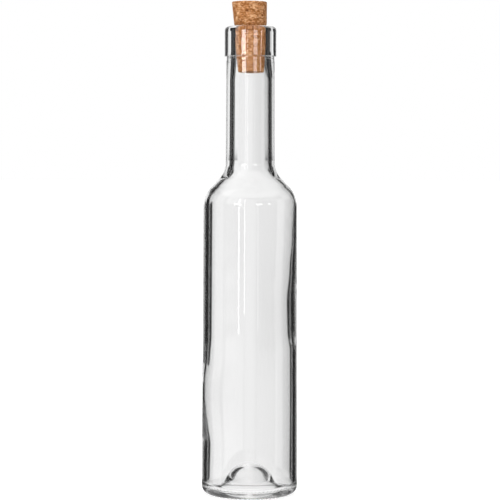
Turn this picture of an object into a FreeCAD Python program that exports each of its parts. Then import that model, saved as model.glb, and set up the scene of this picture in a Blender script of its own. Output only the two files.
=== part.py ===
"""Corked glass bottle: a slim clear bottle of about half a litre, closed by a tapered cork.

Millimetres, +Z up. The origin is the middle of the bottle's foot, on the surface it stands on.
Two pieces: "bottle", blown in one piece of glass, and "cork", pushed into its mouth by hand.
Each is one half section, drawn in a sketch whose sizes are held by the sheet, turned about +Z.
"""
import FreeCAD, Part

import math
import os

import Sketcher

# Driving sizes: alias, millimetres, what it is.
SIZES = [
    ("rim_height", 306.0, "bottle, foot to rim"),
    ("body_radius", 31.4, "outside of the body, just above the heel"),
    ("body_taper", 1.05, "how much narrower the body is where the shoulder starts"),
    ("heel_rounding", 6.0, "rounding between the body and the foot"),
    ("shoulder_start", 188.2, "height where the shoulder leaves the body"),
    ("shoulder_height", 29.2, "from there up to the foot of the neck"),
    ("shoulder_straight", 6.3, "straight slope between the shoulder's two curves"),
    ("neck_flare", 15.0, "inward curve from the shoulder to the neck"),
    ("neck_radius", 15.75, "outside of the neck at its top"),
    ("neck_taper", 0.25, "how much wider the neck is at its foot"),
    ("collar_step", 0.2, "how far the collar lies inside the neck"),
    ("collar_length", 3.0, "collar between the neck and the lip"),
    ("lip_length", 19.6, "height of the lip"),
    ("lip_overhang", 1.15, "how far the lip stands out over the neck"),
    ("lip_rounding", 3.0, "rounding of the lip's outer top edge"),
    ("mouth_rounding", 1.2, "rounding of the mouth's edge"),
    ("mouth_radius", 9.75, "bore in the mouth, which grips the cork"),
    ("mouth_length", 16.0, "length of the narrow bore"),
    ("mouth_cone", 18.0, "length over which the bore opens into the neck"),
    ("neck_wall", 4.5, "glass in the neck"),
    ("body_wall", 3.1, "glass in the body"),
    ("floor_height", 4.2, "lowest point of the inside"),
    ("floor_corner", 4.5, "rounding between the floor and the inner wall"),
    ("push_up_height", 19.0, "top of the push-up, inside"),
    ("push_up_flare", 9.0, "curve from the push-up's side to the floor"),
    ("push_up_glass", 4.6, "glass at the top of the push-up"),
    ("ring_width", 3.6, "flat ring that the bottle stands on"),
    ("cork_stand", 16.0, "cork above the rim"),
    ("cork_depth", 30.0, "cork below the rim"),
    ("cork_clearance", 0.05, "between the cork and the mouth"),
    ("cork_grip", 12.4, "length of cork that fills the mouth"),
    ("cork_tip_relief", 1.05, "how much narrower the cork's tip is than its gripped part"),
    ("cork_swell", 1.0, "how far the cork swells over the rim"),
    ("cork_swell_height", 1.6, "height of the widest swelling over the rim"),
    ("cork_head_spread", 1.8, "how much wider the cork's head is than its gripped part"),
    ("cork_edge", 0.7, "broken edges of the cork"),
]
START = 1
END = 2
CENTRE = 3
ORIGIN = (-1, START)
Z_AXIS = -2


def make_sheet(doc):
    """Spreadsheet with one driving size a row: its alias, its value and what it is."""
    sheet = doc.addObject("Spreadsheet::Sheet", "Sizes")
    for row, (alias, value, meaning) in enumerate(SIZES, start=1):
        sheet.set("A%d" % row, alias)
        sheet.set("B%d" % row, str(value))
        sheet.set("C%d" % row, meaning)
        sheet.setAlias("B%d" % row, alias)
    doc.recompute()
    return sheet


def rule(formula):
    """Length expression for a constraint: every word of the formula is a size on the sheet."""
    words = [word if word in "+-/()2" else "Sizes." + word for word in formula.split()]
    return "(%s) * 1 mm" % " ".join(words)


class Section:
    """Half section in a body's XZ plane, drawn as one run after another and then closed.

    Sketch X is the radius and sketch Y is the height. A run is drawn where the sizes put it, and
    the constraints, bound to the sheet, hold it there. Arc angles are in degrees.
    """

    def __init__(self, body, name, x, y):
        self.sketch = body.newObject("Sketcher::SketchObject", name)
        plane = [item for item in body.Origin.OriginFeatures if item.Role == "XZ_Plane"][0]
        self.sketch.AttachmentSupport = [(plane, "")]
        self.sketch.MapMode = "FlatFace"
        self.point = FreeCAD.Vector(x, y, 0)
        self.first = None
        self.last = None

    def tie(self, kind, *places):
        self.sketch.addConstraint(Sketcher.Constraint(kind, *places))

    def join(self, geometry, head, tail, smooth):
        """Tie the head of a new run to the tail of the run before."""
        if self.last is None:
            self.first = (geometry, head)
        else:
            self.tie("Tangent" if smooth else "Coincident", *self.last, geometry, head)
        self.last = (geometry, tail)

    def line(self, x, y, along=None, smooth=False):
        """Straight run to (x, y). Along may be Horizontal or Vertical."""
        end = FreeCAD.Vector(x, y, 0)
        geometry = self.sketch.addGeometry(Part.LineSegment(self.point, end), False)
        self.join(geometry, START, END, smooth)
        if along:
            self.tie(along, geometry)
        self.point = end
        return geometry

    def arc(self, x, y, radius, begin, finish, smooth=True):
        """Round run about (x, y) between two angles, either way round."""
        low, high = sorted((math.radians(begin), math.radians(finish)))
        circle = Part.Circle(FreeCAD.Vector(x, y, 0), FreeCAD.Vector(0, 0, 1), radius)
        geometry = self.sketch.addGeometry(Part.ArcOfCircle(circle, low, high), False)
        head, tail = (START, END) if finish > begin else (END, START)
        self.join(geometry, head, tail, smooth)
        turn = math.radians(finish)
        self.point = FreeCAD.Vector(x + radius * math.cos(turn), y + radius * math.sin(turn), 0)
        return geometry

    def close(self):
        """Straight run down the axis, back to where the section began."""
        first = self.sketch.getPoint(*self.first)
        geometry = self.line(first.x, first.y)
        self.tie("Coincident", geometry, END, *self.first)

    def hold(self, kind, name, formula, drawn, *place):
        """Dimension a place, as drawn now, and bind it to the sheet."""
        index = self.sketch.addConstraint(Sketcher.Constraint(kind, *place, drawn))
        self.sketch.renameConstraint(index, name)
        self.sketch.setExpression("Constraints." + name, rule(formula))

    def radius(self, geometry, name, formula):
        self.hold("Radius", name, formula, self.sketch.Geometry[geometry].Radius, geometry)

    def length(self, geometry, name, formula):
        self.hold("Distance", name, formula, self.sketch.Geometry[geometry].length(), geometry)

    def out(self, geometry, pos, name, formula):
        """Distance of a point from the axis."""
        self.hold("DistanceX", name, formula, self.sketch.getPoint(geometry, pos).x, *ORIGIN, geometry, pos)

    def up(self, geometry, pos, name, formula):
        """Height of a point over the surface that the bottle stands on."""
        self.hold("DistanceY", name, formula, self.sketch.getPoint(geometry, pos).y, *ORIGIN, geometry, pos)

    def on_axis(self, geometry, pos):
        self.tie("PointOnObject", geometry, pos, Z_AXIS)

    def level(self, arc, geometry, pos):
        """Put a point at the height of an arc's centre."""
        self.tie("Horizontal", arc, CENTRE, geometry, pos)

    def turned(self, body, name):
        """The section turned once round the axis."""
        feature = body.newObject("PartDesign::Revolution", name)
        feature.Profile = self.sketch
        feature.ReferenceAxis = (self.sketch, ["V_Axis"])
        feature.Angle = 360.0
        return feature


class Shoulder:
    """Two curves and the straight slope between them, from the body's wall to the neck."""

    def __init__(self, size):
        self.waist = size.body_radius - size.body_taper
        self.neck = size.neck_radius + size.neck_taper
        self.start = size.shoulder_start
        self.top = size.shoulder_start + size.shoulder_height
        drop = self.waist - self.neck
        slope = 2 * math.atan(drop / (size.shoulder_height + size.shoulder_straight))
        curves = (drop - size.shoulder_straight * math.sin(slope)) / (1 - math.cos(slope))
        self.slope = math.degrees(slope)
        self.rounding = curves - size.neck_flare
        self.flare = size.neck_flare

    def inside(self, size):
        """The same shoulder on the inner face: one wall in from the body, and a neck wall in above."""
        inner = Shoulder(size)
        slope = math.radians(self.slope)
        inner.waist = self.waist - size.body_wall
        inner.neck = self.neck - size.neck_wall
        inner.rounding = self.rounding - size.body_wall
        inner.flare = self.flare + size.body_wall
        drop = inner.waist - inner.neck - (inner.rounding + inner.flare) * (1 - math.cos(slope))
        climb = drop / math.tan(slope) + (inner.rounding + inner.flare) * math.sin(slope)
        inner.top = inner.start + climb
        return inner

    def low_curve(self):
        return self.waist - self.rounding, self.start, self.rounding

    def high_curve(self):
        return self.neck + self.flare, self.top, self.flare

    def low_end(self):
        """Where the low curve meets the straight slope."""
        slope = math.radians(self.slope)
        x, y, radius = self.low_curve()
        return x + radius * math.cos(slope), y + radius * math.sin(slope)

    def high_end(self):
        """Where the straight slope meets the high curve."""
        slope = math.radians(self.slope)
        x, y, radius = self.high_curve()
        return x - radius * math.cos(slope), y - radius * math.sin(slope)


def push_up_curves(size):
    """Radius where the floor is lowest, and the radius and centre height of the push-up's dome."""
    reach = size.body_radius - size.body_wall - size.floor_corner
    below = size.push_up_height - size.floor_height - size.push_up_flare
    rounding = (reach ** 2 + below ** 2 - size.push_up_flare ** 2) / (2 * (size.push_up_flare + below))
    return reach, rounding, size.push_up_height - rounding


def draw_foot(glass, size):
    """Hollow under the push-up and the flat ring round it. The section begins on the axis."""
    ring = size.body_radius - size.heel_rounding - size.ring_width
    _, dome, centre = push_up_curves(size)
    rounding = dome - size.push_up_glass
    meet = math.acos(rounding / math.hypot(ring, centre)) - math.atan2(centre, ring)
    hollow = glass.arc(0, centre, rounding, 90, math.degrees(meet))
    side = glass.line(ring, 0, smooth=True)
    glass.line(size.body_radius - size.heel_rounding, 0, "Horizontal")

    glass.on_axis(hollow, END)
    glass.up(hollow, END, "hollow_height", "push_up_height - push_up_glass")
    glass.out(side, END, "ring_bore", "body_radius - heel_rounding - ring_width")
    glass.tie("PointOnObject", side, END, ORIGIN[0])
    return hollow


def draw_outside(glass, size, shoulder):
    """Heel, body, shoulder and neck. Returns the shoulder's two curves and its straight slope."""
    collar_foot = size.rim_height - size.lip_length - size.collar_length
    flat = size.body_radius - size.heel_rounding
    heel = glass.arc(flat, size.heel_rounding, size.heel_rounding, -90, 0)
    wall = glass.line(shoulder.waist, size.shoulder_start)
    low = glass.arc(*shoulder.low_curve(), 0, shoulder.slope, smooth=False)
    straight = glass.line(*shoulder.high_end(), smooth=True)
    high = glass.arc(*shoulder.high_curve(), 180 + shoulder.slope, 180)
    neck = glass.line(size.neck_radius, collar_foot)

    glass.radius(heel, "heel_rounding", "heel_rounding")
    glass.out(wall, START, "body_radius", "body_radius")
    glass.up(wall, START, "heel_top", "heel_rounding")
    glass.out(wall, END, "waist_radius", "body_radius - body_taper")
    glass.up(wall, END, "shoulder_start", "shoulder_start")
    glass.level(low, wall, END)
    glass.length(straight, "shoulder_straight", "shoulder_straight")
    glass.radius(high, "neck_flare", "neck_flare")
    glass.level(high, neck, START)
    glass.out(high, CENTRE, "flare_centre", "neck_radius + neck_taper + neck_flare")
    glass.up(high, CENTRE, "neck_foot", "shoulder_start + shoulder_height")
    glass.out(neck, END, "neck_radius", "neck_radius")
    glass.up(neck, END, "collar_foot", "rim_height - lip_length - collar_length")
    return low, straight


def draw_lip(glass, size):
    """Collar, lip, rim and the narrow bore of the mouth."""
    collar = size.neck_radius - size.collar_step
    lip = size.neck_radius + size.lip_overhang
    lip_foot = size.rim_height - size.lip_length
    edge_height = size.rim_height - size.lip_rounding
    mouth_edge = size.rim_height - size.mouth_rounding
    step = glass.line(collar, lip_foot - size.collar_length, "Horizontal")
    collar_side = glass.line(collar, lip_foot, "Vertical")
    underside = glass.line(lip, lip_foot, "Horizontal")
    glass.line(lip, edge_height, "Vertical")
    edge = glass.arc(lip - size.lip_rounding, edge_height, size.lip_rounding, 0, 90)
    rim = glass.line(size.mouth_radius + size.mouth_rounding, size.rim_height, "Horizontal", smooth=True)
    inner_edge = glass.arc(size.mouth_radius + size.mouth_rounding, mouth_edge, size.mouth_rounding, 90, 180)
    bore = glass.line(size.mouth_radius, size.rim_height - size.mouth_length, "Vertical", smooth=True)

    glass.out(step, END, "collar_radius", "neck_radius - collar_step")
    glass.up(collar_side, END, "lip_foot", "rim_height - lip_length")
    glass.out(underside, END, "lip_radius", "neck_radius + lip_overhang")
    glass.radius(edge, "lip_rounding", "lip_rounding")
    glass.up(rim, END, "rim_height", "rim_height")
    glass.radius(inner_edge, "mouth_rounding", "mouth_rounding")
    glass.out(bore, END, "mouth_radius", "mouth_radius")
    glass.up(bore, END, "mouth_foot", "rim_height - mouth_length")


def draw_inside(glass, size, shoulder, outer_low, outer_straight):
    """Bore of the neck, and the inner face of the shoulder and the body."""
    cone_foot = size.rim_height - size.mouth_length - size.mouth_cone
    cone = glass.line(size.neck_radius - size.neck_wall, cone_foot)
    neck = glass.line(shoulder.neck, shoulder.top)
    high = glass.arc(*shoulder.high_curve(), 180, 180 + shoulder.slope, smooth=False)
    straight = glass.line(*shoulder.low_end(), smooth=True)
    low = glass.arc(*shoulder.low_curve(), shoulder.slope, 0)
    wall = glass.line(size.body_radius - size.body_wall, size.floor_height + size.floor_corner)

    glass.out(cone, END, "neck_bore", "neck_radius - neck_wall")
    glass.up(cone, END, "cone_foot", "rim_height - mouth_length - mouth_cone")
    glass.level(high, neck, END)
    glass.radius(high, "inner_flare", "neck_flare + body_wall")
    glass.out(high, CENTRE, "inner_flare_centre",
              "neck_radius + neck_taper - neck_wall + neck_flare + body_wall")
    glass.tie("Parallel", straight, outer_straight)
    glass.tie("Coincident", low, CENTRE, outer_low, CENTRE)
    glass.level(low, wall, START)
    glass.out(wall, START, "waist_bore", "body_radius - body_taper - body_wall")
    glass.out(wall, END, "body_bore", "body_radius - body_wall")
    return wall


def draw_floor(glass, size, wall, hollow):
    """Floor round the push-up, and the push-up's dome, which shares its centre with the hollow's."""
    reach, rounding, centre = push_up_curves(size)
    flare = size.push_up_flare
    meet = math.degrees(math.atan2(size.floor_height + flare - centre, reach))
    corner = glass.arc(reach, size.floor_height + size.floor_corner, size.floor_corner, 0, -90, smooth=False)
    curve = glass.arc(reach, size.floor_height + flare, flare, 270, 180 + meet)
    dome = glass.arc(0, centre, rounding, meet, 90)

    glass.level(corner, wall, END)
    glass.radius(corner, "floor_corner", "floor_corner")
    glass.up(curve, END, "floor_height", "floor_height")
    glass.tie("Vertical", curve, CENTRE, curve, END)
    glass.radius(curve, "push_up_flare", "push_up_flare")
    glass.on_axis(dome, END)
    glass.on_axis(dome, CENTRE)
    glass.tie("Coincident", dome, CENTRE, hollow, CENTRE)
    glass.up(dome, END, "push_up_height", "push_up_height")


def make_bottle(doc, size):
    """Bottle of clear glass, one half section turned round the axis."""
    body = doc.addObject("PartDesign::Body", "bottle")
    body.Label = "bottle"
    shoulder = Shoulder(size)
    glass = Section(body, "glass_section", 0, size.push_up_height - size.push_up_glass)
    hollow = draw_foot(glass, size)
    low, straight = draw_outside(glass, size, shoulder)
    draw_lip(glass, size)
    wall = draw_inside(glass, size, shoulder.inside(size), low, straight)
    draw_floor(glass, size, wall, hollow)
    glass.close()
    glass.turned(body, "blown_glass")
    return body


def make_cork(doc, size):
    """Tapered cork of pressed granules, squeezed straight in the mouth and swollen over the rim."""
    body = doc.addObject("PartDesign::Body", "cork")
    body.Label = "cork"
    grip = size.mouth_radius - size.cork_clearance
    grip_top = size.rim_height - size.mouth_rounding / 2
    tip = size.rim_height - size.cork_depth
    head = size.rim_height + size.cork_stand
    # Corners from the tip to the head: name, radius and height as drawn, and as rules on the sheet.
    corners = [
        ("tip", grip - size.cork_tip_relief - size.cork_edge, tip,
         "mouth_radius - cork_clearance - cork_tip_relief - cork_edge", "rim_height - cork_depth"),
        ("tip_edge", grip - size.cork_tip_relief, tip + size.cork_edge,
         "mouth_radius - cork_clearance - cork_tip_relief", "rim_height - cork_depth + cork_edge"),
        ("grip_foot", grip, grip_top - size.cork_grip,
         "mouth_radius - cork_clearance", "rim_height - mouth_rounding / 2 - cork_grip"),
        ("grip_top", grip, grip_top,
         "mouth_radius - cork_clearance", "rim_height - mouth_rounding / 2"),
        ("swell", grip + size.cork_swell, size.rim_height + size.cork_swell_height,
         "mouth_radius - cork_clearance + cork_swell", "rim_height + cork_swell_height"),
        ("head_edge", grip + size.cork_head_spread, head - size.cork_edge,
         "mouth_radius - cork_clearance + cork_head_spread", "rim_height + cork_stand - cork_edge"),
        ("head", grip + size.cork_head_spread - size.cork_edge, head,
         "mouth_radius - cork_clearance + cork_head_spread - cork_edge", "rim_height + cork_stand"),
    ]
    section = Section(body, "cork_section", 0, tip)
    for name, x, y, out_rule, up_rule in corners:
        run = section.line(x, y)
        section.out(run, END, name + "_radius", out_rule)
        section.up(run, END, name + "_height", up_rule)
    first = section.first[0]
    section.tie("Horizontal", first)
    section.on_axis(first, START)
    top = section.line(0, head, "Horizontal")
    section.on_axis(top, END)
    section.close()
    section.turned(body, "tapered_cork")
    return body


def check(doc, bodies):
    """Stop if a feature failed, a sketch is loose, or a body isn't one valid closed solid."""
    for item in doc.Objects:
        bad = {"Invalid", "Error"} & set(item.State)
        if bad:
            raise RuntimeError("%s is %s" % (item.Label, ", ".join(sorted(bad))))
        if item.TypeId == "Sketcher::SketchObject" and (item.solve() != 0 or not item.FullyConstrained):
            raise RuntimeError("%s isn't fully held by its sizes" % item.Label)
    for body in bodies:
        shape = body.Shape
        if shape.isNull() or not shape.isValid() or len(shape.Solids) != 1:
            raise RuntimeError("%s isn't one valid solid" % body.Label)


def main():
    doc = FreeCAD.newDocument("corked_glass_bottle")
    size = make_sheet(doc)
    bodies = [make_bottle(doc, size), make_cork(doc, size)]
    doc.recompute()
    check(doc, bodies)
    os.makedirs("parts", exist_ok=True)
    for body in bodies:
        body.Shape.exportStep("parts/%s.step" % body.Label)
        print("%s: %.1f cm3" % (body.Label, body.Shape.Volume / 1000))


main()
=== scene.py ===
"""Looks of a corked glass bottle: clear blown glass, a stopper of pressed cork granules, and a pale stage.

Metres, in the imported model's frame: +Z up, the origin under the middle of the foot.
The file is laid out as an add-on, and is run as a script.
"""
import math

import bpy
import numpy as np
from bpy.props import FloatProperty, FloatVectorProperty, IntProperty, PointerProperty
from bpy.types import Operator, Panel, PropertyGroup
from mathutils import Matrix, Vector


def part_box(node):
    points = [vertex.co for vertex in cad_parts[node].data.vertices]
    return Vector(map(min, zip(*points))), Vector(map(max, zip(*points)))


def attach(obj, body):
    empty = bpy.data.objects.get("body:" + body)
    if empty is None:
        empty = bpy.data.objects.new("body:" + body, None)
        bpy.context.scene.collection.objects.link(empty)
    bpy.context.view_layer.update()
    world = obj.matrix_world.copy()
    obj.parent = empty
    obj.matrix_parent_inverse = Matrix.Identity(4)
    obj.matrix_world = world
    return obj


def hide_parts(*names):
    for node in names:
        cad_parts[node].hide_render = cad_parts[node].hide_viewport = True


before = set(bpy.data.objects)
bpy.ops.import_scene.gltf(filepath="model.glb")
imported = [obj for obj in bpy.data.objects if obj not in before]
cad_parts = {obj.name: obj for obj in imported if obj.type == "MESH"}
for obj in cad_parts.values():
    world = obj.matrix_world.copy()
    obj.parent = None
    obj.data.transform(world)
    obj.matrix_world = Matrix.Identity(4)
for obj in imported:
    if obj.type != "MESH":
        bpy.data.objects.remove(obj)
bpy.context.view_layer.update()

bl_info = {
    "name": "Corked glass bottle",
    "version": (1, 0, 0),
    "blender": (4, 5, 0),
    "location": "View3D > Sidebar > Bottle",
    "description": "Clear blown bottle with a stopper of pressed cork",
    "category": "Object",
}

MM = 0.001
BOTTLE_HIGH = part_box("bottle")[1]
CORK_LOW, CORK_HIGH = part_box("cork")
TIP_HIGHER = 0.5    # how much higher the stopper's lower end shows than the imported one's, in millimetres


# ---------------------------------------------------------------- sizes and colours

def length(name, description, millimetres):
    """Property for a length, given in millimetres."""
    return FloatProperty(name=name, description=description, default=millimetres * MM,
                         unit="LENGTH", subtype="DISTANCE", precision=5)


def linear(code):
    """Linear colour of an sRGB hex code such as D29A6B."""
    parts = [int(code[i:i + 2], 16) / 255 for i in (0, 2, 4)]
    return tuple(c / 12.92 if c <= 0.04045 else ((c + 0.055) / 1.055) ** 2.4 for c in parts)


def colour(name, description, code):
    """Property for a colour, given as an sRGB hex code."""
    return FloatVectorProperty(name=name, description=description, default=linear(code),
                               size=3, min=0, max=1, subtype="COLOR")


class BottleSizes(PropertyGroup):
    """Outside of the bottle, its bore, its push-up and its finish."""
    rim_height: length("Rim height", "From the foot to the rim", BOTTLE_HIGH.z / MM)
    body_radius: length("Body radius", "Outside of the body above the heel", BOTTLE_HIGH.x / MM)
    body_taper: length("Body taper", "How much narrower the body is under the shoulder", 0.8)
    heel_rounding: length("Heel rounding", "Rounding between body and foot", 6.0)
    seam_step: length("Seam step", "Step where the base plate of the mould met its walls", 0.12)
    shoulder_start: length("Shoulder start", "Height where the shoulder leaves the body", 189.0)
    shoulder_height: length("Shoulder height", "From there to the foot of the neck", 28.4)
    shoulder_straight: length("Shoulder straight", "Slope between the shoulder's curves", 6.3)
    neck_flare: length("Neck flare", "Inward curve from shoulder to neck", 15.0)
    neck_radius: length("Neck radius", "Outside of the neck at its top", 15.75)
    neck_taper: length("Neck taper", "How much wider the neck is at its foot", 0.25)
    collar_step: length("Collar step", "How far the collar lies inside the neck", 0.2)
    collar_length: length("Collar length", "Collar between neck and lip", 3.0)
    lip_length: length("Lip length", "Height of the lip", 19.6)
    lip_overhang: length("Lip overhang", "How far the lip stands out over the neck", 1.15)
    lip_rounding: length("Lip rounding", "Rounding of the lip's top edge", 3.0)
    mouth_rounding: length("Mouth rounding", "Rounding of the mouth's edge", 1.2)
    mouth_radius: length("Mouth radius", "Bore that grips the stopper", 9.95)
    mouth_length: length("Mouth length", "Length of the narrow bore", 16.0)
    mouth_cone: length("Mouth cone", "Length over which the bore opens", 18.0)
    neck_wall: length("Neck wall", "Glass in the neck", 4.5)
    body_wall: length("Body wall", "Glass in the body", 3.1)
    floor_height: length("Floor height", "Lowest point of the inside", 4.2)
    floor_corner: length("Floor corner", "Rounding between floor and wall", 4.5)
    push_up_height: length("Push-up height", "Top of the push-up inside", 20.5)
    push_up_flare: length("Push-up flare", "Curve from the push-up to the floor", 9.0)
    push_up_glass: length("Push-up glass", "Glass at the top of the push-up", 3.2)
    ring_width: length("Ring width", "Flat ring that the bottle stands on", 3.6)
    rib_count: IntProperty(name="Ribs", description="Knurled ribs round the standing ring",
                           default=60, min=3)
    rib_depth: length("Rib depth", "Typical depth of the knurling on the standing ring", 0.5)
    tint: colour("Glass tint", "Colour of the glass", "FFFFFF")


class CorkSizes(PropertyGroup):
    """The stopper, its lean and the size of its granules."""
    head_height: length("Head height", "Top of the stopper", CORK_HIGH.z / MM)
    tip_height: length("Tip height", "Lower end of the stopper", CORK_LOW.z / MM + TIP_HIGHER)
    head_radius: length("Head radius", "Widest part of the head", CORK_HIGH.x / MM)
    swell_radius: length("Swell radius", "Swelling just over the rim", 10.7)
    swell_height: length("Swell height", "Height of the swelling over the rim", 1.6)
    grip_radius: length("Grip radius", "Part that the mouth squeezes", 9.85)
    grip_length: length("Grip length", "Height of the squeezed part", 12.4)
    tip_radius: length("Tip radius", "Radius at the tip", 8.5)
    edge: length("Edge", "Broken edges", 0.7)
    head_lean: length("Head lean", "How far the head leans to the left", 0.8)
    tip_lean: length("Tip lean", "How far the tip stands to the right", 0.25)
    granule: length("Granule", "Typical width of a granule", 2.7)
    crevice: length("Crevice", "Depth of the joints between granules", 0.12)
    pore: length("Pore", "Radius of the larger pores", 0.62)
    pore_depth: length("Pore depth", "Depth of the larger pores", 0.7)
    pale: colour("Pale cork", "Fresh-cut granules", "F8D0A4")
    light: colour("Light cork", "Lighter granules", "E6AE7D")
    middle: colour("Middle cork", "Most granules", "CB8C58")
    brown: colour("Brown cork", "Darker granules", "A66632")
    dark: colour("Dark cork", "Joints and bark crumbs", "6F4022")
    bark: colour("Bark", "Pores and specks of bark", "3A2619")


class StageSizes(PropertyGroup):
    """Camera and lamps."""
    camera_distance: length("Camera distance", "From the bottle's axis", 1340)
    camera_height: length("Camera height", "Over the floor", 228)
    aim_height: length("Aim height", "Where the camera looks on the axis", 160.2)
    camera_roll: FloatProperty(name="Camera roll", description="Small turn about the line of sight",
                               default=math.radians(0.15), subtype="ANGLE")
    lens: FloatProperty(name="Lens", description="Focal length", default=147.55, unit="CAMERA")
    lamp_distance: length("Lamp distance", "From the axis to the strip lamps", 1000)
    floor_width: length("Floor width", "Side of the square floor", 24000)


# ---------------------------------------------------------------- meshes turned about the axis

GUARD = 0.15 * MM          # from the end of a straight run to its last row but one
SHORTEST_GUARDED = 0.9 * MM
COARSEST_TURN = 20         # degrees between two points of an arc


def arc(centre, radius, start, end, step):
    """Points on an arc from one angle in degrees to another, at most a step and the coarsest turn apart."""
    turn = abs(end - start)
    count = math.ceil(max(math.radians(turn) * radius / step, turn / COARSEST_TURN)) + 1
    angles = np.radians(np.linspace(start, end, count))
    return np.column_stack([centre[0] + radius * np.cos(angles), centre[1] + radius * np.sin(angles)])


def rounded(corners, run, step):
    """Points along straight runs whose corners, given as (radius, height, rounding), are rounded off.

    A straight run has a row of points close to each end, so that the shading of a curve stays on it.
    """
    places = np.array([corner[:2] for corner in corners])
    roundings = [corner[2] for corner in corners[1:-1]]
    path = [places[:1]]
    for before, corner, after, rounding in zip(places, places[1:], places[2:], roundings):
        back, on = [(p - corner) / np.hypot(*(p - corner)) for p in (before, after)]
        half = math.acos(np.clip(back @ on, -1, 1)) / 2
        middle = corner + (back + on) / np.hypot(*(back + on)) * rounding / math.sin(half)
        first, last = [corner + side * rounding / math.tan(half) - middle for side in (back, on)]
        start, end = [math.degrees(math.atan2(p[1], p[0])) for p in (first, last)]
        end = start + (end - start + 180) % 360 - 180
        path.append(arc(middle, rounding, start, end, step))
    path.append(places[-1:])
    points = [path[0][0]]
    for piece in path[1:]:
        last, gap = points[-1], piece[0] - points[-1]
        span = np.hypot(*gap)
        shares = np.linspace(0, 1, max(1, math.ceil(span / run)) + 1)[1:]
        if span > SHORTEST_GUARDED:
            shares = np.concatenate([[GUARD / span], shares[:-1], [1 - GUARD / span, 1]])
        points.extend(last + gap * share for share in shares)
        points.extend(piece[1:])
    return np.array(points)


def lathe(name, rings):
    """Closed mesh through rings of points, an array of rows, sides and xyz. The end rows are the poles."""
    rows, sides = rings.shape[0] - 2, rings.shape[1]
    points = np.vstack([rings[0, :1], rings[1:-1].reshape(-1, 3), rings[-1, :1]])
    side = np.arange(sides)
    beside = (side + 1) % sides
    first = 1 + np.arange(rows - 1)[:, None] * sides
    quads = np.stack([first + side, first + beside, first + sides + beside, first + sides + side],
                     axis=-1)
    top = 1 + (rows - 1) * sides
    foot_fan = [(0, 1 + b, 1 + a) for a, b in zip(side, beside)]
    head_fan = [(top + a, top + b, len(points) - 1) for a, b in zip(side, beside)]
    mesh = bpy.data.meshes.new(name)
    mesh.from_pydata(points.tolist(), [], foot_fan + quads.reshape(-1, 4).tolist() + head_fan)
    mesh.shade_smooth()
    piece = bpy.data.objects.new(name, mesh)
    bpy.context.collection.objects.link(piece)
    return piece


def put(tree, kind, inputs=None, **settings):
    """Add a node to a tree. Its inputs take values or the sockets of other nodes."""
    node = tree.nodes.new(kind)
    for name, value in settings.items():
        setattr(node, name, value)
    for key, value in (inputs or {}).items():
        if isinstance(value, bpy.types.NodeSocket):
            tree.links.new(value, node.inputs[key])
        else:
            node.inputs[key].default_value = value
    return node


def empty_tree(owner):
    """Node tree of a material or a world, without its first nodes."""
    owner.use_nodes = True
    owner.node_tree.nodes.clear()
    return owner.node_tree


def geometry_tree(name, sizes):
    """Geometry tree with inputs for the geometry, for each size by name and for the material, and those."""
    tree = bpy.data.node_groups.new(name, "GeometryNodeTree")
    tree.interface.new_socket("Geometry", in_out="OUTPUT", socket_type="NodeSocketGeometry")
    tree.interface.new_socket("Geometry", in_out="INPUT", socket_type="NodeSocketGeometry")
    for size in sizes:
        tree.interface.new_socket(size, in_out="INPUT", socket_type="NodeSocketFloat")
    tree.interface.new_socket("Material", in_out="INPUT", socket_type="NodeSocketMaterial")
    return tree, put(tree, "NodeGroupInput").outputs


def end_tree(tree, geometry, material):
    """Realize the geometry, give it the material and send it out."""
    real = put(tree, "GeometryNodeRealizeInstances", {"Geometry": geometry})
    painted = put(tree, "GeometryNodeSetMaterial", {"Geometry": real.outputs[0], "Material": material})
    put(tree, "NodeGroupOutput", {"Geometry": painted.outputs[0]})


def shaped(piece, tree, values):
    """Run a geometry tree on a piece and keep the result as its plain mesh."""
    modifier = piece.modifiers.new(tree.name, "NODES")
    modifier.node_group = tree
    for item in tree.interface.items_tree:
        if item.in_out == "INPUT" and item.name in values:
            modifier[item.identifier] = values[item.name]
    evaluated = piece.evaluated_get(bpy.context.evaluated_depsgraph_get())
    mesh = bpy.data.meshes.new_from_object(evaluated)
    piece.modifiers.remove(modifier)
    piece.data = mesh
    piece.data.shade_smooth()


def eased(value, low, high):
    """0 below low, 1 above high and a smooth rise between."""
    t = np.clip((value - low) / (high - low), 0, 1)
    return t * t * (3 - 2 * t)


# ---------------------------------------------------------------- the bottle

GLASS_SIDES = 360
# The most that two rows of points lie apart, on straight stretches (run) and round curves (step).
OUTER_RUN, OUTER_STEP = 14 * MM, 0.85 * MM
INNER_RUN, INNER_STEP = 4.5 * MM, 0.95 * MM
DOME_STEP = 1.05 * MM

HOLLOW_FOOT = 2 * MM       # straight stretch between the hollow's dome and the standing ring
RING_EDGE = 0.8 * MM
HEEL_TIGHTER = 0.6 * MM    # how much smaller the heel's curve is than the height of the seam
SEAM_HALF = 0.1 * MM       # half the height over which the seam steps out
SEAM_EDGE = 0.12 * MM
COLLAR_UNDER, COLLAR_OVER = 0.2 * MM, 0.1 * MM    # where the collar's small step starts and ends
COLLAR_EDGE = 0.15 * MM
LIP_CORNER = 0.5 * MM      # inward corner under the lip
LIP_LOWER_EDGE = 0.35 * MM
RIM_FLAT = 1 * MM          # from the mouth's rounding to where outside and inside join on the rim
BORE_BEND = 12 * MM        # rounding at both ends of the widening bore
FLOOR_FLAT = 0.01 * MM

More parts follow.
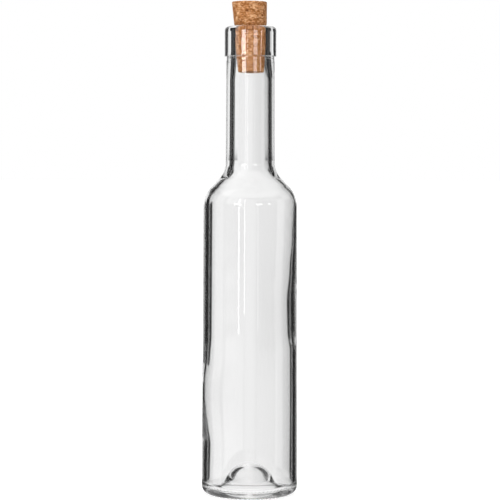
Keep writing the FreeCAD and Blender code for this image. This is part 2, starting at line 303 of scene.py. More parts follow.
# Glass down the sides and the front in millimetres, as (height, thickness). Blown by machine, it runs
# thick and thin, which is what widens and narrows the dark edges that a clear bottle shows.
LEFT_GLASS = [(14, 3.2), (34, 3.3), (44, 2.8), (54, 2.3), (64, 1.9), (72, 2.0), (88, 3.1), (104, 3.4),
              (192, 3.4), (215, 4.5), (272, 4.5), (290, 6.0)]
RIGHT_GLASS = [(14, 3.1), (60, 3.0), (96, 3.0), (106, 3.5), (128, 3.6), (146, 3.1), (170, 2.5),
               (192, 2.1), (215, 4.0), (272, 4.0), (290, 6.0)]
FRONT_GLASS = [(14, 3.3), (192, 3.3), (215, 4.3), (272, 4.3), (290, 6.0)]
SIDE_POWER = 2             # how quickly the sides' glass gives way to the front's
PUSH_UP_REACH = 50 * MM    # under this height the unevenness fades towards the axis
PUSH_UP_POWER = 3
# The wall of the drawn half section, also in millimetres: heights between which it goes from the body's
# to the neck's, and heights between which it gains the mouth's extra glass.
SHOULDER_GLASS = (188, 220)
MOUTH_GLASS = (272, 290)
MOUTH_EXTRA = 1.5

KNURL_OVERLAP = 3.4 * MM   # how far the ribs run out past the flat ring, onto the heel
RIB_FOOT, RIB_TOP = 0.7 * MM, 2 * MM    # ribs are full under the first height and gone over the second
RIB_PEAK = 1.6             # depth in the middle of a rib over its typical depth; its ends run out to 0


def glass_at(heights, knots):
    """Thickness at each height, eased from one knot to the next, in metres."""
    heights = np.asarray(heights) / MM
    total = np.full_like(heights, knots[0][1])
    for (low, before), (high, after) in zip(knots, knots[1:]):
        total += (after - before) * eased(heights, low, high)
    return total * MM


def shoulder_slope(size):
    """Slope of the shoulder outside, and the sum of the radii of its two curves."""
    drop = size.body_radius - size.body_taper - size.neck_radius - size.neck_taper
    slope = 2 * math.atan(drop / (size.shoulder_height + size.shoulder_straight))
    return slope, (drop - size.shoulder_straight * math.sin(slope)) / (1 - math.cos(slope))


def shoulder_corners(waist, neck, rounding, flare, start, slope):
    """The two corners of the shoulder, whose straight slope joins its curves."""
    low = start + rounding * math.tan(slope / 2)
    high = low + (waist - neck) / math.tan(slope)
    return [(waist, low, rounding), (neck, high, flare)]


def bottle_outside(size):
    """Half section from the middle of the hollow foot, up the outside, to the rim."""
    ring_in = size.body_radius - size.heel_rounding - size.ring_width
    dome, centre = push_up_dome(size)
    hollow = dome - size.push_up_glass
    meet = math.degrees(math.acos(hollow / math.hypot(ring_in, centre)) - math.atan2(centre, ring_in))
    waist = size.body_radius - size.body_taper
    neck_foot = size.neck_radius + size.neck_taper
    slope, curves = shoulder_slope(size)
    lip_foot = size.rim_height - size.lip_length
    collar_foot = lip_foot - size.collar_length
    collar = size.neck_radius - size.collar_step
    lip = size.neck_radius + size.lip_overhang
    heel = size.body_radius - size.seam_step
    seam = size.heel_rounding
    corners = [
        (ring_in - HOLLOW_FOOT, HOLLOW_FOOT * math.tan(math.radians(90 - meet)), 0),
        (ring_in, 0, RING_EDGE),
        (heel, 0, size.heel_rounding - HEEL_TIGHTER),
        (heel, seam - SEAM_HALF, SEAM_EDGE),
        (size.body_radius, seam + SEAM_HALF, SEAM_EDGE),
        *shoulder_corners(waist, neck_foot, curves - size.neck_flare, size.neck_flare,
                          size.shoulder_start, slope),
        (size.neck_radius, collar_foot - COLLAR_UNDER, COLLAR_EDGE),
        (collar, collar_foot + COLLAR_OVER, COLLAR_EDGE),
        (collar, lip_foot, LIP_CORNER),
        (lip, lip_foot, LIP_LOWER_EDGE),
        (lip, size.rim_height, size.lip_rounding),
        (size.mouth_radius + size.mouth_rounding + RIM_FLAT, size.rim_height, 0),
    ]
    dome_points = arc((0, centre), hollow, 90, meet, DOME_STEP)
    return np.vstack([dome_points, rounded(corners, OUTER_RUN, OUTER_STEP)[1:]])


def push_up_dome(size):
    """Radius and centre height of the push-up's dome, which meets the floor's curve."""
    reach = size.body_radius - size.body_wall - size.floor_corner
    below = size.push_up_height - size.floor_height - size.push_up_flare
    radius = (reach ** 2 + below ** 2 - size.push_up_flare ** 2) / (2 * (size.push_up_flare + below))
    return radius, size.push_up_height - radius


def bottle_inside(size):
    """Half section from the rim, down the bore and the inner wall, to the top of the push-up."""
    waist = size.body_radius - size.body_taper - size.body_wall
    neck_foot = size.neck_radius + size.neck_taper - size.neck_wall
    slope, curves = shoulder_slope(size)
    mouth_foot = size.rim_height - size.mouth_length
    low, high = shoulder_corners(waist, neck_foot, curves - size.neck_flare - size.body_wall,
                                 size.neck_flare + size.body_wall, size.shoulder_start, slope)
    bore = size.body_radius - size.body_wall
    corners = [
        (size.mouth_radius + size.mouth_rounding + RIM_FLAT, size.rim_height, 0),
        (size.mouth_radius, size.rim_height, size.mouth_rounding),
        (size.mouth_radius, mouth_foot, BORE_BEND),
        (size.neck_radius - size.neck_wall, mouth_foot - size.mouth_cone, BORE_BEND),
        high, low,
        (bore, size.floor_height, size.floor_corner),
        (bore - size.floor_corner - FLOOR_FLAT, size.floor_height, 0),
    ]
    dome, centre = push_up_dome(size)
    reach = bore - size.floor_corner
    meet = math.degrees(math.atan2(size.floor_height + size.push_up_flare - centre, reach))
    flare_centre = (reach, size.floor_height + size.push_up_flare)
    flare = arc(flare_centre, size.push_up_flare, 270, 180 + meet, DOME_STEP)
    top = arc((0, centre), dome, meet, 90, DOME_STEP)
    return np.vstack([rounded(corners, INNER_RUN, INNER_STEP)[1:-1], flare, top[1:]])


def bottle_rings(size):
    """Every ring of the bottle. The outside is round, and the inner wall runs thick and thin."""
    outside, inside = bottle_outside(size), bottle_inside(size)
    turn = np.arange(GLASS_SIDES) * math.tau / GLASS_SIDES
    across, along = np.cos(turn), np.sin(turn)
    wall, neck = size.body_wall / MM, size.neck_wall / MM
    height = inside[:, 1:]
    drawn = glass_at(height, [(SHOULDER_GLASS[0], wall), (SHOULDER_GLASS[1], neck),
                              (MOUTH_GLASS[0], neck), (MOUTH_GLASS[1], neck + MOUTH_EXTRA)])
    front = glass_at(height, FRONT_GLASS)
    glass = (front + (glass_at(height, LEFT_GLASS) - front) * np.clip(-across, 0, 1) ** SIDE_POWER
             + (glass_at(height, RIGHT_GLASS) - front) * np.clip(across, 0, 1) ** SIDE_POWER)
    bore = size.body_radius - size.body_wall
    share = np.where(height < PUSH_UP_REACH, (inside[:, :1] / bore) ** PUSH_UP_POWER, 1)
    reach = inside[:, :1] + (drawn - glass) * np.clip(share, 0, 1)
    spread = np.vstack([np.repeat(outside[:, :1], GLASS_SIDES, axis=1), np.clip(reach, 0, None)])
    rise = np.vstack([outside[:, 1:], height])
    rings = np.stack([spread * across, spread * along, np.repeat(rise, GLASS_SIDES, axis=1)], axis=-1)
    rings[0, :, :2] = 0
    rings[-1, :, :2] = 0
    return rings


def knurled_ring():
    """Tree that presses shallow radial ribs into the flat ring a bottle stands on."""
    tree, given = geometry_tree("Knurled ring", ["Ribs", "Depth", "Inner radius", "Outer radius"])
    position = put(tree, "GeometryNodeInputPosition").outputs[0]
    place = put(tree, "ShaderNodeSeparateXYZ", {0: position}).outputs
    turn = put(tree, "ShaderNodeMath", {0: place[1], 1: place[0]}, operation="ARCTAN2")
    phase = put(tree, "ShaderNodeMath", {0: turn.outputs[0], 1: given["Ribs"]}, operation="MULTIPLY")
    wave = put(tree, "ShaderNodeMath", {0: phase.outputs[0]}, operation="COSINE")
    dent = put(tree, "ShaderNodeMapRange", {0: wave.outputs[0], 1: 1.0, 2: -1.0, 3: 0.0, 4: given["Depth"]})
    flat = put(tree, "ShaderNodeCombineXYZ", {0: place[0], 1: place[1]})
    radius = put(tree, "ShaderNodeVectorMath", {0: flat.outputs[0]}, operation="LENGTH").outputs["Value"]
    inner, outer = given["Inner radius"], given["Outer radius"]
    both = put(tree, "ShaderNodeMath", {0: inner, 1: outer}, operation="ADD")
    middle = put(tree, "ShaderNodeMath", {0: both.outputs[0], 1: 0.5}, operation="MULTIPLY")
    half = put(tree, "ShaderNodeMath", {0: outer, 1: middle.outputs[0]}, operation="SUBTRACT")
    away = put(tree, "ShaderNodeMath", {0: radius, 1: middle.outputs[0]}, operation="SUBTRACT")
    away = put(tree, "ShaderNodeMath", {0: away.outputs[0]}, operation="ABSOLUTE")
    inside = put(tree, "ShaderNodeMapRange", {
        0: away.outputs[0], 1: half.outputs[0], 2: 0.0, 3: 0.0, 4: RIB_PEAK})
    low = put(tree, "ShaderNodeMapRange", {0: place[2], 1: RIB_TOP, 2: RIB_FOOT, 3: 0.0, 4: 1.0})
    rise = put(tree, "ShaderNodeMath", {0: dent.outputs[0], 1: inside.outputs[0]}, operation="MULTIPLY")
    rise = put(tree, "ShaderNodeMath", {0: rise.outputs[0], 1: low.outputs[0]}, operation="MULTIPLY")
    offset = put(tree, "ShaderNodeCombineXYZ", {2: rise.outputs[0]})
    moved = put(tree, "GeometryNodeSetPosition", {"Geometry": given["Geometry"], "Offset": offset.outputs[0]})
    end_tree(tree, moved.outputs[0], given["Material"])
    return tree


def clear_glass(tint):
    """Soda-lime glass, fire-polished: near colourless, glossy, bending what is behind it.

    Shadow rays pass straight through, so that the lamps reach the stopper and the floor.
    """
    material = bpy.data.materials.new("clear soda-lime glass")
    tree = empty_tree(material)
    glass = put(tree, "ShaderNodeBsdfPrincipled", {
        "Base Color": (*tint, 1), "Roughness": 0.0, "IOR": 1.52, "Transmission Weight": 1.0})
    through = put(tree, "ShaderNodeBsdfTransparent", {"Color": (1, 1, 1, 1)})
    path = put(tree, "ShaderNodeLightPath")
    surface = put(tree, "ShaderNodeMixShader", {
        0: path.outputs["Is Shadow Ray"], 1: glass.outputs[0], 2: through.outputs[0]})
    put(tree, "ShaderNodeOutputMaterial", {"Surface": surface.outputs[0]})
    return material


class BOTTLE_OT_blow(Operator):
    """Blow the bottle in clear glass"""
    bl_idname = "corked_bottle.blow"
    bl_label = "Blow the bottle"

    def execute(self, context):
        size = context.scene.bottle_sizes
        piece = lathe("blown_bottle", bottle_rings(size))
        ring = size.body_radius - size.heel_rounding
        shaped(piece, knurled_ring(), {
            "Ribs": float(size.rib_count), "Depth": size.rib_depth,
            "Inner radius": ring - size.ring_width, "Outer radius": ring + KNURL_OVERLAP,
            "Material": clear_glass(size.tint)})
        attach(piece, "root")
        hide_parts("bottle")
        return {"FINISHED"}


# ---------------------------------------------------------------- the stopper

CORK_SIDES = 380
CORK_RUN, CORK_STEP = 0.33 * MM, 0.2 * MM    # fine enough to carry the relief of granules and pores
GRIP_UNDER_RIM = 0.6 * MM    # from the rim down to the top of the squeezed part
GRIP_FOOT_BEND, GRIP_TOP_BEND, SWELL_BEND = 8 * MM, 0.8 * MM, 1.2 * MM

GRANULE_RIPPLE = 0.5       # ripples of the outline to a granule's width
GRANULE_SHAKE = 2.2        # widest range of the ripples' push, in granules
GRANULE_FLATNESS = 2.2     # width over height
JOINT_REACH = 0.16         # how far a joint's groove reaches into its granule, in granules
GRANULE_SINK = 0.8         # how deep the lowest granule sinks, in depths of a joint

PORE_RIPPLE = 0.8          # ripples of the outline to a pore's radius
PORE_SHAKE = 2             # widest range of the ripples' push, in radii
PORE_CELL = 3.6            # width of the cells that may hold a pore, in radii
PORE_FLATNESS = 1.5
PORE_CHANCE = 0.8          # a cell whose random value is over this holds a pore
PORE_WIDEST = 0.36         # radius of the widest pore, in cells
PORE_SLOPE = 0.14          # width of a pore's sloping side, in cells

LAYER = 1.4 * MM           # widest mottling within a granule; the noise's detail adds the fine crumbs
LAYER_FLATNESS = 2.4
MOTTLE_NOISE = (0.34, 0.66)    # values of the noise that give the darkest and the palest mottling
MOTTLE_TONE = (-0.25, 0.7)     # and the tones of the two
GRANULE_TONE = 0.5         # how much of the tone is a granule's own
JOINT_PAINT = 0.1          # how far a joint's dark line reaches into its granule, in granules
JOINT_NOISE = (0.42, 0.62)     # values of the noise where the line is whole and where it is gone


def cork_rings(size, rim_height):
    """Rings of the stopper: tapered tip, squeezed grip, swelling over the rim, and a head that leans."""
    grip_top = rim_height - GRIP_UNDER_RIM
    grip_foot = grip_top - size.grip_length
    corners = [
        (0, size.tip_height, 0),
        (size.tip_radius, size.tip_height, size.edge),
        (size.grip_radius, grip_foot, GRIP_FOOT_BEND),
        (size.grip_radius, grip_top, GRIP_TOP_BEND),
        (size.swell_radius, rim_height + size.swell_height, SWELL_BEND),
        (size.head_radius, size.head_height, size.edge),
        (0, size.head_height, 0),
    ]
    section = rounded(corners, CORK_RUN, CORK_STEP)
    turn = np.arange(CORK_SIDES) * math.tau / CORK_SIDES
    radius, height = section[:, :1], section[:, 1:]
    above = np.clip((height - rim_height) / (size.head_height - rim_height), 0, 1)
    below = np.clip((grip_foot - height) / (grip_foot - size.tip_height), 0, 1)
    lean = size.tip_lean * below - size.head_lean * above
    return np.stack([radius * np.cos(turn) + lean, radius * np.sin(turn),
                     np.repeat(height, CORK_SIDES, axis=1)], axis=-1)


def granules(tree, place, granule):
    """Sockets for the pattern of pressed granules, the same in the mesh and in the material.

    The granules lie flat, so cells are wider than they are high. Returns the distance from a cell's edge
    and three random values for each cell.
    """
    ripple = put(tree, "ShaderNodeTexNoise", {
        "Vector": place, "Scale": GRANULE_RIPPLE / granule, "Detail": 4.0, "Roughness": 0.65})
    shake = put(tree, "ShaderNodeVectorMath", {0: ripple.outputs["Color"], 1: (0.5, 0.5, 0.5)},
                operation="SUBTRACT")
    shake = put(tree, "ShaderNodeVectorMath", {0: shake.outputs[0], "Scale": granule * GRANULE_SHAKE},
                operation="SCALE")
    moved = put(tree, "ShaderNodeVectorMath", {0: place, 1: shake.outputs[0]}, operation="ADD")
    density = (1 / granule, 1 / granule, GRANULE_FLATNESS / granule)
    cells = put(tree, "ShaderNodeVectorMath", {0: moved.outputs[0], 1: density}, operation="MULTIPLY")
    pattern = {"Vector": cells.outputs[0], "Scale": 1.0}
    edge = put(tree, "ShaderNodeTexVoronoi", pattern, feature="DISTANCE_TO_EDGE")
    cell = put(tree, "ShaderNodeTexVoronoi", pattern, feature="F1")
    chance = put(tree, "ShaderNodeSeparateXYZ", {0: cell.outputs["Color"]})
    return edge.outputs["Distance"], chance.outputs


def pores(tree, place, pore):
    """Socket that is 1 in the middle of a pore and 0 outside. One cell in five holds one."""
    ripple = put(tree, "ShaderNodeTexNoise", {"Vector": place, "Scale": PORE_RIPPLE / pore, "Detail": 3.0})
    shake = put(tree, "ShaderNodeVectorMath", {0: ripple.outputs["Color"], "Scale": pore * PORE_SHAKE},
                operation="SCALE")
    moved = put(tree, "ShaderNodeVectorMath", {0: place, 1: shake.outputs[0]}, operation="ADD")
    flat = put(tree, "ShaderNodeVectorMath", {0: moved.outputs[0], 1: (1, 1, PORE_FLATNESS)},
               operation="MULTIPLY")
    cells = put(tree, "ShaderNodeTexVoronoi", {"Vector": flat.outputs[0], "Scale": 1 / (pore * PORE_CELL)},
                feature="F1")
    chance = put(tree, "ShaderNodeSeparateXYZ", {0: cells.outputs["Color"]})
    wide = put(tree, "ShaderNodeMapRange", {
        0: chance.outputs[0], 1: PORE_CHANCE, 2: 1.0, 3: 0.0, 4: PORE_WIDEST})
    inside = put(tree, "ShaderNodeMath", {0: wide.outputs[0], 1: cells.outputs["Distance"]},
                 operation="SUBTRACT")
    depth = put(tree, "ShaderNodeMapRange", {0: inside.outputs[0], 1: 0.0, 2: PORE_SLOPE, 3: 0.0, 4: 1.0})
    return depth.outputs[0]


def pressed_surface(size):
    """Tree that sinks the joints between granules and the pores into a smooth stopper."""
    tree, given = geometry_tree("Pressed cork", ["Crevice", "Pore depth"])
    place = put(tree, "GeometryNodeInputPosition").outputs[0]
    edge, chance = granules(tree, place, size.granule)
    joint = put(tree, "ShaderNodeMapRange", {0: edge, 1: JOINT_REACH, 2: 0.0, 3: 0.0, 4: 1.0},
                interpolation_type="SMOOTHSTEP")
    sunk = put(tree, "ShaderNodeMath", {0: chance[1], 1: GRANULE_SINK}, operation="MULTIPLY")
    sunk = put(tree, "ShaderNodeMath", {0: joint.outputs[0], 1: sunk.outputs[0]}, operation="ADD")
    sunk = put(tree, "ShaderNodeMath", {0: sunk.outputs[0], 1: given["Crevice"]}, operation="MULTIPLY")
    hole = put(tree, "ShaderNodeMath", {0: pores(tree, place, size.pore), 1: given["Pore depth"]},
               operation="MULTIPLY")
    inward = put(tree, "ShaderNodeMath", {0: sunk.outputs[0], 1: hole.outputs[0]}, operation="ADD")
    inward = put(tree, "ShaderNodeMath", {0: inward.outputs[0], 1: -1.0}, operation="MULTIPLY")
    normal = put(tree, "GeometryNodeInputNormal").outputs[0]
    push = put(tree, "ShaderNodeVectorMath", {0: normal, "Scale": inward.outputs[0]}, operation="SCALE")
    moved = put(tree, "GeometryNodeSetPosition", {"Geometry": given["Geometry"], "Offset": push.outputs[0]})
    end_tree(tree, moved.outputs[0], given["Material"])
    return tree


def pressed_cork(size):
    """Cork granules pressed and glued together: matt, mottled from cream to brown, with dark pores."""
    material = bpy.data.materials.new("agglomerated cork")
    tree = empty_tree(material)
    place = put(tree, "ShaderNodeTexCoord").outputs["Object"]
    edge, chance = granules(tree, place, size.granule)
    # Each granule has its own tone; thin cell layers and crumbs make it uneven within.
    layers = put(tree, "ShaderNodeMapping", {"Vector": place, "Scale": (1, 1, LAYER_FLATNESS)}).outputs[0]
    fibre = put(tree, "ShaderNodeTexNoise", {
        "Vector": layers, "Scale": 1 / LAYER, "Detail": 5.0, "Roughness": 0.7}).outputs[0]
    mottled = put(tree, "ShaderNodeMapRange", {
        0: fibre, 1: MOTTLE_NOISE[0], 2: MOTTLE_NOISE[1], 3: MOTTLE_TONE[0], 4: MOTTLE_TONE[1]})
    tone = put(tree, "ShaderNodeMath", {0: chance[0], 1: GRANULE_TONE, 2: mottled.outputs[0]},
               operation="MULTIPLY_ADD")
    ramp = put(tree, "ShaderNodeValToRGB", {0: tone.outputs[0]})
    stops = ramp.color_ramp.elements
    stops[0].color = (*size.dark, 1)
    stops[1].color = (*size.pale, 1)
    for tone_level, shade in ((0.2, size.brown), (0.5, size.middle), (0.75, size.light)):
        stops.new(tone_level).color = (*shade, 1)
    joint = put(tree, "ShaderNodeMapRange", {0: edge, 1: JOINT_PAINT, 2: 0.0, 3: 0.0, 4: 1.0})
    whole = put(tree, "ShaderNodeMapRange", {
        0: fibre, 1: JOINT_NOISE[0], 2: JOINT_NOISE[1], 3: 1.0, 4: 0.0})
    line = put(tree, "ShaderNodeMath", {0: joint.outputs[0], 1: whole.outputs[0]}, operation="MULTIPLY")
    jointed = put(tree, "ShaderNodeMix", {0: line.outputs[0], 6: ramp.outputs[0], 7: (*size.dark, 1)},
                  data_type="RGBA")
    holed = put(tree, "ShaderNodeMix", {
        0: pores(tree, place, size.pore), 6: jointed.outputs[2], 7: (*size.bark, 1)}, data_type="RGBA")
    surface = put(tree, "ShaderNodeBsdfPrincipled", {
        "Base Color": holed.outputs[2], "Roughness": 0.85, "IOR": 1.4, "Specular IOR Level": 0.3})
    put(tree, "ShaderNodeOutputMaterial", {"Surface": surface.outputs[0]})
    return material


class BOTTLE_OT_press_cork(Operator):
    """Press the stopper of cork granules into the mouth"""
    bl_idname = "corked_bottle.press_cork"
    bl_label = "Press the stopper"

    def execute(self, context):
        size = context.scene.cork_sizes
        piece = lathe("pressed_stopper", cork_rings(size, context.scene.bottle_sizes.rim_height))
        shaped(piece, pressed_surface(size), {
            "Crevice": size.crevice, "Pore depth": size.pore_depth, "Material": pressed_cork(size)})
        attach(piece, "root")
        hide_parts("cork")
        return {"FINISHED"}


# ---------------------------------------------------------------- the stage

def direction(azimuth):
    """Level direction at an azimuth in degrees from +Y towards +X."""
    turn = math.radians(azimuth)
    return math.sin(turn), math.cos(turn), 0.0


def bright_board(tree, level, azimuth, half, soft):
    """Socket that is 1 towards an upright white board of some half width in degrees, and 0 elsewhere."""
    facing = put(tree, "ShaderNodeVectorMath", {0: level, 1: direction(azimuth)}, operation="DOT_PRODUCT")
    dark, white = [math.cos(math.radians(half + edge)) for edge in (soft, -soft)]
    return put(tree, "ShaderNodeMapRange", {0: facing.outputs["Value"], 1: dark, 2: white, 3: 0.0, 4: 1.0},
               interpolation_type="SMOOTHSTEP").outputs[0]


def brightest(tree, sockets):
    """Socket with the highest of several values."""
    total = sockets[0]
    for socket in sockets[1:]:
        total = put(tree, "ShaderNodeMath", {0: total, 1: socket}, operation="MAXIMUM").outputs[0]
    return total


# Brightness that matt surfaces see, in the open and through the glass, and that of the black boards.
AMBIENT, AMBIENT_IN_GLASS = 0.5, 0.58
BLACK_BOARD = 0.018

# White boards as (azimuth of the middle, half width, softness of the edges) in degrees. Azimuths count from
# behind the bottle towards +X, so that the camera stands at 180.
WIDE_BEHIND = (0, 28, 2)
NARROW_BEHIND = (0, 15, 1.5)
HIGH_BEHIND = (0, 17, 2)
BEHIND_LEFT = (-45, 28, 3)
LEFT = (-90, 14, 3)
FRONT_RIGHT = (135, 28, 3)
FRONT = (180, 14, 6)

# Elevations in degrees between which a board, or the light over or under them all, comes in.
NARROW_UNDER = (0.2, -1.4)
HIGH_OVER = (9, 11)
FRONT_RIGHT_UNDER = (-4, -6.5)
BEHIND_LEFT_UNDER = (-15, -18)
LOW_BOARDS_UNDER = (-21, -25)
FLOOR_GLOW_UNDER, FLOOR_GLOW = (-12, -20), 0.2
FLOOR_UNDER = (-34, -40)
CEILING_OVER, CEILING_GLOW = (35, 45), 0.35

FADE_ACROSS = (-8, 22)     # azimuths between which the light behind the bottle fades
FADE_LEVELS = (1.06, 0.62)
FRONT_LEVEL = 0.5
LOW_BEHIND_LEVEL = 0.9


def rises(tree, sine, span, start=0.0, end=1.0):
    """Socket that goes from start to end as a sine crosses a span of angles in degrees."""
    low, high = [math.sin(math.radians(angle)) for angle in span]
    return put(tree, "ShaderNodeMapRange", {0: sine, 1: low, 2: high, 3: start, 4: end}).outputs[0]


def studio_world():
    """White to the camera, soft to matt surfaces, and white boards between black ones to the glass."""
    world = bpy.data.worlds.new("studio boards")
    tree = empty_tree(world)
    look = put(tree, "ShaderNodeTexCoord").outputs["Generated"]
    flat = put(tree, "ShaderNodeVectorMath", {0: look, 1: (1, 1, 0)}, operation="MULTIPLY")
    level = put(tree, "ShaderNodeVectorMath", {0: flat.outputs[0]}, operation="NORMALIZE").outputs[0]
    height = put(tree, "ShaderNodeSeparateXYZ", {0: look}).outputs[2]
    across = put(tree, "ShaderNodeSeparateXYZ", {0: level}).outputs[0]
    path = put(tree, "ShaderNodeLightPath").outputs
    wide, narrow, high, behind_left, left, front_right, front = [
        bright_board(tree, level, *board) for board in (
            WIDE_BEHIND, NARROW_BEHIND, HIGH_BEHIND, BEHIND_LEFT, LEFT, FRONT_RIGHT, FRONT)]

    behind = put(tree, "ShaderNodeMix", {0: rises(tree, height, NARROW_UNDER), 2: wide, 3: narrow})
    behind = put(tree, "ShaderNodeMix", {0: rises(tree, height, HIGH_OVER), 2: behind.outputs[0], 3: high})
    fade = rises(tree, across, FADE_ACROSS, *FADE_LEVELS)
    behind = put(tree, "ShaderNodeMath", {0: behind.outputs[0], 1: fade}, operation="MULTIPLY")
    around = [left]
    for board, share in ((front_right, rises(tree, height, FRONT_RIGHT_UNDER)),
                         (behind_left, rises(tree, height, BEHIND_LEFT_UNDER)), (front, FRONT_LEVEL)):
        part = put(tree, "ShaderNodeMath", {0: board, 1: share}, operation="MULTIPLY")
        around.append(part.outputs[0])
    through = put(tree, "ShaderNodeMath", {0: brightest(tree, around), 1: path["Is Transmission Ray"]},
                  operation="MULTIPLY")
    upper = brightest(tree, [behind.outputs[0], through.outputs[0]])

    low_behind = put(tree, "ShaderNodeMath", {0: wide, 1: LOW_BEHIND_LEVEL}, operation="MULTIPLY")
    lower = brightest(tree, [behind_left, front_right, low_behind.outputs[0]])
    boards = put(tree, "ShaderNodeMix", {0: rises(tree, height, LOW_BOARDS_UNDER), 2: upper, 3: lower})
    white = brightest(tree, [
        boards.outputs[0], rises(tree, height, CEILING_OVER, 0.0, CEILING_GLOW),
        rises(tree, height, FLOOR_UNDER), rises(tree, height, FLOOR_GLOW_UNDER, 0.0, FLOOR_GLOW)])

    glossy = put(tree, "ShaderNodeMix", {0: white, 2: BLACK_BOARD, 3: 1.0})
    matt = put(tree, "ShaderNodeMath", {0: path["Diffuse Depth"], 1: 1.0}, operation="MINIMUM")
    soft = put(tree, "ShaderNodeMix", {0: path["Is Transmission Ray"], 2: AMBIENT, 3: AMBIENT_IN_GLASS})
    seen = put(tree, "ShaderNodeMix", {0: matt.outputs[0], 2: glossy.outputs[0], 3: soft.outputs[0]})
    seen = put(tree, "ShaderNodeMix", {0: path["Is Camera Ray"], 2: seen.outputs[0], 3: 1.0})
    sky = put(tree, "ShaderNodeBackground", {"Color": (1, 1, 1, 1), "Strength": seen.outputs[0]})
    put(tree, "ShaderNodeOutputWorld", {"Surface": sky.outputs[0]})
    bpy.context.scene.world = world


PAPER_WHITE = 0.85
GLOW_NEAR, GLOW_FAR = 0.1, 0.9    # metres from the bottle's axis between which the paper's own light grows
GLOW_LEAST = 0.45


def floor_paint():
    """Matt white paper that glows to the camera away from the bottle, and shows only its soft shadow."""
    material = bpy.data.materials.new("matt white paper")
    tree = empty_tree(material)
    place = put(tree, "ShaderNodeTexCoord").outputs["Object"]
    away = put(tree, "ShaderNodeVectorMath", {0: place}, operation="LENGTH").outputs["Value"]
    growing = put(tree, "ShaderNodeMapRange", {0: away, 1: GLOW_NEAR, 2: GLOW_FAR, 3: GLOW_LEAST, 4: 1.0})
    path = put(tree, "ShaderNodeLightPath").outputs
    glow = put(tree, "ShaderNodeMath", {0: growing.outputs[0], 1: path["Is Camera Ray"]},
               operation="MULTIPLY")
    paper = put(tree, "ShaderNodeBsdfDiffuse", {"Color": (PAPER_WHITE, PAPER_WHITE, PAPER_WHITE, 1)})
    white = put(tree, "ShaderNodeEmission", {"Strength": glow.outputs[0]})
    total = put(tree, "ShaderNodeAddShader", {0: paper.outputs[0], 1: white.outputs[0]})
    put(tree, "ShaderNodeOutputMaterial", {"Surface": total.outputs[0]})
    return material


def lamp(name, place, target, width, height, radiance, seen_in_glass):
    """Flat lamp that faces a target. Its power follows from its area and its radiance."""
    data = bpy.data.lights.new(name, "AREA")
    data.shape = "RECTANGLE"
    data.size = width
    data.size_y = height
    data.energy = radiance * math.pi * width * height
    light = bpy.data.objects.new(name, data)
    light.location = place
    light.rotation_euler = (Vector(target) - Vector(place)).to_track_quat("-Z", "Y").to_euler()
    light.visible_camera = False
    light.visible_glossy = seen_in_glass
    light.visible_transmission = False
    bpy.context.collection.objects.link(light)


# Large lamp high up on the left, on the camera's side. It gives the stopper and the floor their soft light.
TOP_PLACE, TOP_AIM = (-0.5, -0.7, 1.6), (0, 0, 0.2)
TOP_SIDE, TOP_RADIANCE = 1.4, 1.38

# Upright strip lamps on the camera's side: name, edges in degrees from the camera towards +X, foot and top
# in metres, radiance. They make the long streaks on the glass.
STRIPS = [
    ("key_strip_top", -29, -24.5, 0.42, 0.80, 8.0),
    ("key_strip_high", -40, -20.5, 0.317, 0.42, 13.0),
    ("key_strip_middle", -25, -17, 0.20, 0.317, 2.0),
    ("key_strip_low", -28.4, -25.4, 0.027, 0.20, 8.0),
    ("inner_strip", -14.2, -12.2, 0.049, 0.80, 7.0),
    ("fill_strip_high", 13.5, 30, 0.317, 0.42, 6.5),
    ("fill_strip_low", 18, 20, 0.03, 0.317, 2.0),
    ("edge_strip", 46.5, 50, 0.317, 0.42, 9.0),
]


def strip_lamp(name, left, right, foot, top, radiance, distance):
    """Upright strip lamp that faces the bottle's axis and reaches from its left edge to its right one."""
    turn = math.radians((left + right) / 2)
    width = 2 * distance * math.tan(math.radians((right - left) / 2))
    middle = (foot + top) / 2
    place = (math.sin(turn) * distance, -math.cos(turn) * distance, middle)
    lamp(name, place, (0, 0, middle), width, top - foot, radiance, True)


GLASS_BOUNCES, SHADOW_BOUNCES = 32, 16


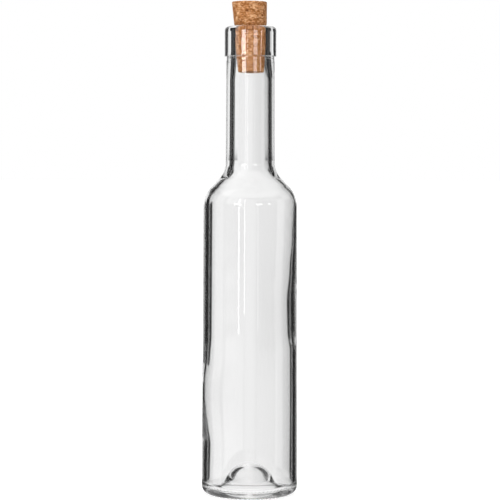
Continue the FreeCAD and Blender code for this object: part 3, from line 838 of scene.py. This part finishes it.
class BOTTLE_OT_stage(Operator):
    """Set the floor, the lamps, the studio boards and the camera"""
    bl_idname = "corked_bottle.stage"
    bl_label = "Set the stage"

    def execute(self, context):
        scene, size = context.scene, context.scene.stage_sizes
        half = size.floor_width / 2
        mesh = bpy.data.meshes.new("paper_floor")
        mesh.from_pydata([(-half, -half, 0), (half, -half, 0), (half, half, 0), (-half, half, 0)], [],
                         [(0, 1, 2, 3)])
        mesh.materials.append(floor_paint())
        floor = bpy.data.objects.new("paper_floor", mesh)
        floor.visible_glossy = False
        floor.visible_transmission = False
        context.collection.objects.link(floor)

        studio_world()
        lamp("soft_top", TOP_PLACE, TOP_AIM, TOP_SIDE, TOP_SIDE, TOP_RADIANCE, False)
        for strip in STRIPS:
            strip_lamp(*strip, size.lamp_distance)

        data = bpy.data.cameras.new("camera")
        data.lens = size.lens
        camera = bpy.data.objects.new("camera", data)
        place = Vector((0, -size.camera_distance, size.camera_height))
        camera.location = place
        aim = (Vector((0, 0, size.aim_height)) - place).to_track_quat("-Z", "Y")
        camera.rotation_euler = aim.to_euler()
        camera.rotation_euler.rotate_axis("Z", size.camera_roll)
        context.collection.objects.link(camera)
        scene.camera = camera
        scene.view_settings.view_transform = "Standard"
        scene.cycles.max_bounces = GLASS_BOUNCES
        scene.cycles.transmission_bounces = GLASS_BOUNCES
        scene.cycles.glossy_bounces = GLASS_BOUNCES
        scene.cycles.transparent_max_bounces = SHADOW_BOUNCES
        return {"FINISHED"}


class BOTTLE_PT_panel(Panel):
    """Sizes and colours of the corked bottle"""
    bl_idname = "BOTTLE_PT_panel"
    bl_label = "Corked bottle"
    bl_space_type = "VIEW_3D"
    bl_region_type = "UI"
    bl_category = "Bottle"

    def draw(self, context):
        for group, step in (("bottle_sizes", BOTTLE_OT_blow), ("cork_sizes", BOTTLE_OT_press_cork),
                            ("stage_sizes", BOTTLE_OT_stage)):
            box = self.layout.box()
            settings = getattr(context.scene, group)
            for name in settings.__annotations__:
                box.prop(settings, name)
            box.operator(step.bl_idname)


CLASSES = [BottleSizes, CorkSizes, StageSizes, BOTTLE_OT_blow, BOTTLE_OT_press_cork, BOTTLE_OT_stage,
           BOTTLE_PT_panel]


def register():
    for item in CLASSES:
        bpy.utils.register_class(item)
    bpy.types.Scene.bottle_sizes = PointerProperty(type=BottleSizes)
    bpy.types.Scene.cork_sizes = PointerProperty(type=CorkSizes)
    bpy.types.Scene.stage_sizes = PointerProperty(type=StageSizes)


def unregister():
    for name in ("bottle_sizes", "cork_sizes", "stage_sizes"):
        delattr(bpy.types.Scene, name)
    for item in reversed(CLASSES):
        bpy.utils.unregister_class(item)


def main():
    register()
    bpy.ops.corked_bottle.blow()
    bpy.ops.corked_bottle.press_cork()
    bpy.ops.corked_bottle.stage()


if __name__ == "__main__":
    main()
